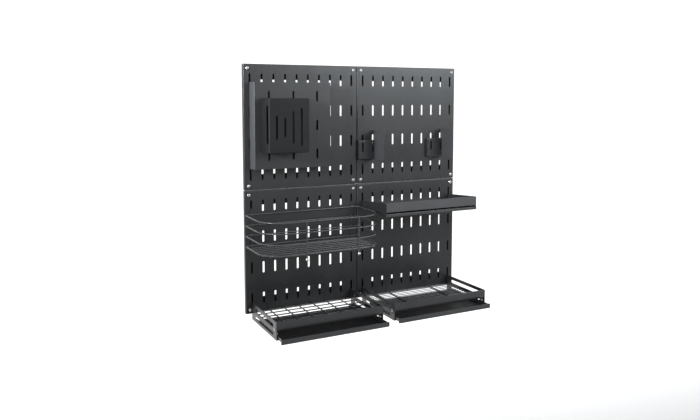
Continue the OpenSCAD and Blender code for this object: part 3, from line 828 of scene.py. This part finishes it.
wires("basket.hoops", draw_hoops, "basket", "basket_hoops")
wires("basket.floor", draw_basket_floor, "basket", "basket_floor_wires")
wires("basket.uprights", draw_uprights, "basket", "basket_uprights")
show_cad("basket_ball_tips", STEEL)
for node, x in zip(("basket_hook_left", "basket_hook_right"), strip_x):
    lo, hi = extents(node)
    strip = shape(rect((x - 3, x + 3), (lo[2], hi[2]), 2.0), "Y", (HANG_Y - HOOK_T, HANG_Y))
    own(build(node + ".strip", [strip, board_hook(x, -1, 0), board_hook(x, -1, 1)]),
        "basket", "black_coat", node)


# ---------------------------------------------------------------- shelf
def pressed_tray(node, body, t, corner, bend, floor, wall, flange_h):
    """A pressed tray with a plain front flange. Its floor lies floor mm above the flange's bottom."""
    lo, hi = extents(node)
    inset = 3.0
    pan_z = (lo[2] + floor, lo[2] + floor + wall)
    flange = rect((lo[0], hi[0]), (lo[2], lo[2] + flange_h), min(1.6, flange_h / 4))
    adds = [cup((lo[0] + inset, hi[0] - inset), (lo[1] + t, hi[1]), pan_z, t, corner, bend),
            shape(flange, "Y", (lo[1], lo[1] + t + 0.3))]
    tray = build(node + ".pressed", adds, materials=(COAT_LIGHTER, COAT_EDGE_HIGHLIGHT))
    # the tray's up-facing floor inside takes the darker coat: painted shade in the tray
    own(recoat(tray, COAT_PAN_SHADE, lambda c, n: n.z > 0.9 and c.y > lo[1] + t + 2), body, "black_coat", node)


lo, hi = extents("shelf_deck")
deck_x, deck_y, deck_z = (lo[0], hi[0]), (lo[1], hi[1]), (lo[2], hi[2])
deck_profile = [(deck_y[0], deck_z[1]), (deck_y[0], deck_z[0], 2.4), (deck_y[1], deck_z[0]),
                (deck_y[1], deck_z[0] + SHEET), (deck_y[0] + SHEET, deck_z[0] + SHEET, 0.9),
                (deck_y[0] + SHEET, deck_z[1])]
drain_step = (deck_x[1] - deck_x[0]) / 10
DRAIN_LEN = 75.0
deck_cuts = [shape(slot_outline(deck_x[0] + i * drain_step, (deck_y[0] + FACE_Y) / 2, SLOT_W, DRAIN_LEN),
                   "Z", (deck_z[0] - 1, deck_z[0] + SHEET + 1)) for i in range(1, 10)]
own(build("shelf.deck", [shape(deck_profile, "X", deck_x)], deck_cuts, materials=(COAT_PALE, COAT_EDGE_HIGHLIGHT)),
    "shelf", "black_coat", "shelf_deck")
for node, column, inner in (("shelf_side_left", 0, 1), ("shelf_side_right", 9, -1)):
    lo, hi = extents(node)
    x = col(1, column)
    runner = sorted((x, x + inner * 7))
    side = [(HANG_Y, lo[2], 0.6), (deck_y[0], lo[2], 2.0), (deck_y[0], deck_z[1], 2.0),
            (HANG_Y, deck_z[1] - 9, 1.0)]
    adds = [shape(side, "X", (x - HOOK_T / 2, x + HOOK_T / 2)),
            block(runner, (deck_y[0] + 0.6, HANG_Y - 6), (lo[2], lo[2] + 1)), board_hook(x, -1, 0)]
    own(build(node + ".sheet", adds), "shelf", "black_coat", node)
pressed_tray("shelf_tray", "shelf_drawer", t=1.0, corner=3.0, bend=1.4, floor=1.1, wall=5.9, flange_h=6.0)


# ---------------------------------------------------------------- dish racks
FRONT_H, SCREW_BACK, SCREW_UP, SCREW_R = 24.0, 11, 6, 2.1


def rack(side_name, side):
    """A dish rack with its side plates, front, wire floor, screws and drip tray."""
    body = side_name + "_rack"
    left, right = body + "_side_left", body + "_side_right"
    lo, hi = extents(left)
    front, bottom, top = lo[1], lo[2], hi[2]
    edge = top - FRONT_H
    floor_z = edge + 0.5
    screw_y, screw_z = front + SCREW_BACK, edge + SCREW_UP
    hole = rect((screw_y - SCREW_R, screw_y + SCREW_R), (screw_z - SCREW_R, screw_z + SCREW_R),
                SCREW_R - 0.001)
    for node, column, inner in ((left, 0, 1), (right, 9, -1)):
        x = col(side, column)
        plate = [(HANG_Y, bottom, 0.6), (front, bottom, 2.0), (front, top, 2.0), (HANG_Y, top, 1.0)]
        runner = sorted((x, x + inner * 9))
        adds = [shape(plate, "X", (x - HOOK_T / 2, x + HOOK_T / 2)),
                block(runner, (front + 2, HANG_Y - 6), (bottom, bottom + SHEET)), board_hook(x, -1, 3)]
        through = (x - HOOK_T, x + HOOK_T)
        cuts = [shape(slot_outline((front + HANG_Y) / 2, (low + high) / 2, high - low,
                                   HANG_Y - front - 40, False), "X", through)
                for low, high in ((floor_z + 6, top - 8.5), (bottom + 7, floor_z - 4))]
        cuts.append(shape(hole, "X", through))
        own(build(node + ".sheet", adds, cuts), body, "black_coat", node)
    x = (col(side, 0) + 1, col(side, 9) - 1)
    roll = 9.0
    face = [(front, top), (front, edge, roll), (front + roll, edge), (front + roll, edge + SHEET),
            (front + SHEET, edge + SHEET, roll - SHEET), (front + SHEET, top)]
    adds = [shape(face, "X", x)]
    for tab in ((x[0], x[0] + SHEET), (x[1] - SHEET, x[1])):
        adds.append(shape([(front + 1, edge + roll), (front + roll - 2, edge + 2),
                           (front + 17, edge + 2, 2), (front + 17, top - 3, 3), (front + 1, top - 3)],
                          "X", tab))
    holes = [shape(hole, "X", (x[0] - 1, x[0] + 3)), shape(hole, "X", (x[1] - 3, x[1] + 1))]
    own(build(body + ".front", adds, holes, materials=(COAT_LIGHTER, COAT_EDGE_HIGHLIGHT)),
        body, "black_coat", body + "_front")

    def draw_floor(bm):
        y = (front + 25, HANG_Y - 5)
        middle, width = (x[0] + x[1]) / 2, x[1] - x[0]
        if side < 0:
            count, d, bar = 7, 3.0, 3.0
            bars = [x[0] + k * width / 7 for k in range(1, 7)]
        else:
            count, d, bar = 13, 2.0, 4.0
            bars = [middle + s * 0.237 * width for s in (-1, 1)]
        bar_z = floor_z + (d + bar) / 2 * 0.9
        for k in range(count):
            yk = y[0] + k * (y[1] - y[0]) / (count - 1)
            straight(bm, (x[0], yk, floor_z), (x[1], yk, floor_z), d)
            for end in (x[0] + 0.5, x[1] - 0.5):
                weld(bm, (end, yk, floor_z), (0.8, d * 0.72, d * 0.72))
            for xb in bars:
                weld(bm, (xb, yk, floor_z + d * 0.45), (bar * 0.62, d * 0.75, d * 0.3))
        for xb in bars:
            straight(bm, (xb, y[0] - 3, bar_z), (xb, y[1] + 3, bar_z), bar)

    wires(body + ".floor", draw_floor, body, body + "_floor")
    places = [((col(side, 0) - 1, screw_y, screw_z), (1, 0, 0)),
              ((col(side, 9) + 1, screw_y, screw_z), (-1, 0, 0))]
    screws(body + "_screws", places, d=4.0, head_d=7.0, head_h=2.2, length=5.5, neck=0, neck_d=0, pitch=0.7,
           body=body)
    show_cad(body + "_guides", NYLON)
    pressed_tray(side_name + "_drip_tray", side_name + "_tray", t=1.5, corner=4.0, bend=2.2, floor=1.6,
                 wall=9.0, flange_h=11.5)


rack("left", -1)
rack("right", 1)


# ---------------------------------------------------------------- camera, floor and light, in metres
camera = bpy.data.objects.new("camera", bpy.data.cameras.new("camera"))
bpy.context.scene.collection.objects.link(camera)
camera.location = (-0.7993, -1.5557, 0.2201)
camera.rotation_euler = (math.radians(85.02), 0, math.radians(-26.78))
camera.data.sensor_width = 36
camera.data.lens = 34.76
camera.data.shift_y = -0.075
camera.data.clip_start = 0.05
camera.data.clip_end = 60
camera.data.dof.use_dof = False
bpy.context.scene.camera = camera

FLOOR_Z = -0.62
DIM, LIT, BEHIND = 0.08, 0.62, 1.05
COOL = (0.9, 0.96, 1.0)
# the studio's paper in mm: it lies flat, rolls up behind the object and ends in a wall
FLOOR_FRONT, FLOOR_BACK, FLOOR_R, FLOOR_TOP, FLOOR_SIDE = -9000.0, 3200.0, 1400.0, 6500.0, 30000.0
floor_bm = bmesh.new()
sweep = [(FLOOR_FRONT, 0.0), (FLOOR_BACK, 0.0)]
sweep += [(FLOOR_BACK + FLOOR_R * math.sin(a), FLOOR_R - FLOOR_R * math.cos(a))
          for a in (math.radians(6 * k) for k in range(1, 16))]
sweep.append((FLOOR_BACK + FLOOR_R, FLOOR_TOP))
rims = [[floor_bm.verts.new((x, y, z)) for y, z in sweep] for x in (-FLOOR_SIDE, FLOOR_SIDE)]
for k in range(len(sweep) - 1):
    floor_bm.faces.new((rims[0][k], rims[1][k], rims[1][k + 1], rims[0][k + 1]))
floor = to_object(floor_bm, "studio_floor")
floor.location.z = FLOOR_Z
for polygon in floor.data.polygons:
    polygon.use_smooth = True
paper, tree, shader, coord = graph("studio_paper")
grain = blend_colour(tree, noise(tree, coord, 3.0, 4.0), (0.9, 0.9, 0.9), (0.94, 0.94, 0.94))
along = tree.nodes.new("ShaderNodeSeparateXYZ")
tree.links.new(coord, along.inputs["Vector"])
# painted light: the paper glows at half strength where it is pale; toward the front and beyond the far left
# it fades to a dark grey that does not glow
apron = math_node(tree, "MULTIPLY", remap(tree, along.outputs["Y"], -0.8, 0.1, 0.0, 1.0),
                  remap(tree, along.outputs["X"], -1.9, -0.9, 0.15, 1.0))
tree.links.new(blend_colour(tree, apron, (0.3, 0.3, 0.3), grain), shader.inputs["Base Color"])
shader.inputs["Roughness"].default_value = 0.9
shader.inputs["Specular IOR Level"].default_value = 0.1
tree.links.new(math_node(tree, "MULTIPLY", apron, 0.5), shader.inputs["Emission Strength"])
shader.inputs["Emission Color"].default_value = (1.0, 1.0, 1.0, 1.0)
floor.data.materials.append(paper)

world = bpy.data.worlds.new("studio")
world.use_nodes = True
sky = world.node_tree
direction = sky.nodes.new("ShaderNodeTexCoord").outputs["Generated"]
parts = sky.nodes.new("ShaderNodeSeparateXYZ")
sky.links.new(direction, parts.inputs["Vector"])
ahead = remap(sky, parts.outputs["Y"], -0.25, 0.25, 0.0, 1.0)
rise = remap(sky, parts.outputs["Z"], -0.16, 0.03, DIM, LIT)
level_mix = sky.nodes.new("ShaderNodeMix")
level_mix.data_type = "FLOAT"
sky.links.new(ahead, level_mix.inputs[0])
sky.links.new(rise, level_mix.inputs[2])
level_mix.inputs[3].default_value = BEHIND
sky.links.new(level_mix.outputs[0], sky.nodes["Background"].inputs["Strength"])
sky.nodes["Background"].inputs["Color"].default_value = (1.0, 1.0, 1.0, 1.0)
bpy.context.scene.world = world


def hang_light(light, at, target, power):
    """Puts a light in the scene and turns it to the target."""
    light.energy = power
    light.color = COOL
    obj = bpy.data.objects.new(light.name, light)
    bpy.context.scene.collection.objects.link(obj)
    obj.location = at
    obj.rotation_euler = (Vector(target) - Vector(at)).to_track_quat("-Z", "Y").to_euler()


def softbox(name, at, target, size, power):
    """A rectangular area light."""
    light = bpy.data.lights.new(name, "AREA")
    light.shape = "RECTANGLE"
    light.size, light.size_y = size
    hang_light(light, at, target, power)


def snoot(name, at, target, angle, radius, power):
    """A round light with a grid that keeps it off everything outside the cone."""
    light = bpy.data.lights.new(name, "SPOT")
    light.spot_size = math.radians(angle)
    light.spot_blend = 0.8
    light.shadow_soft_size = radius
    hang_light(light, at, target, power)


softbox("key", (1.3, -1.6, 0.75), (0.0, 0.0, 0.25), (1.5, 0.8), 22)
snoot("side", (-1.7, -0.7, 0.55), (0.0, -0.03, 0.19), 24, 0.22, 240)
bpy.context.scene.view_settings.view_transform = "Standard"
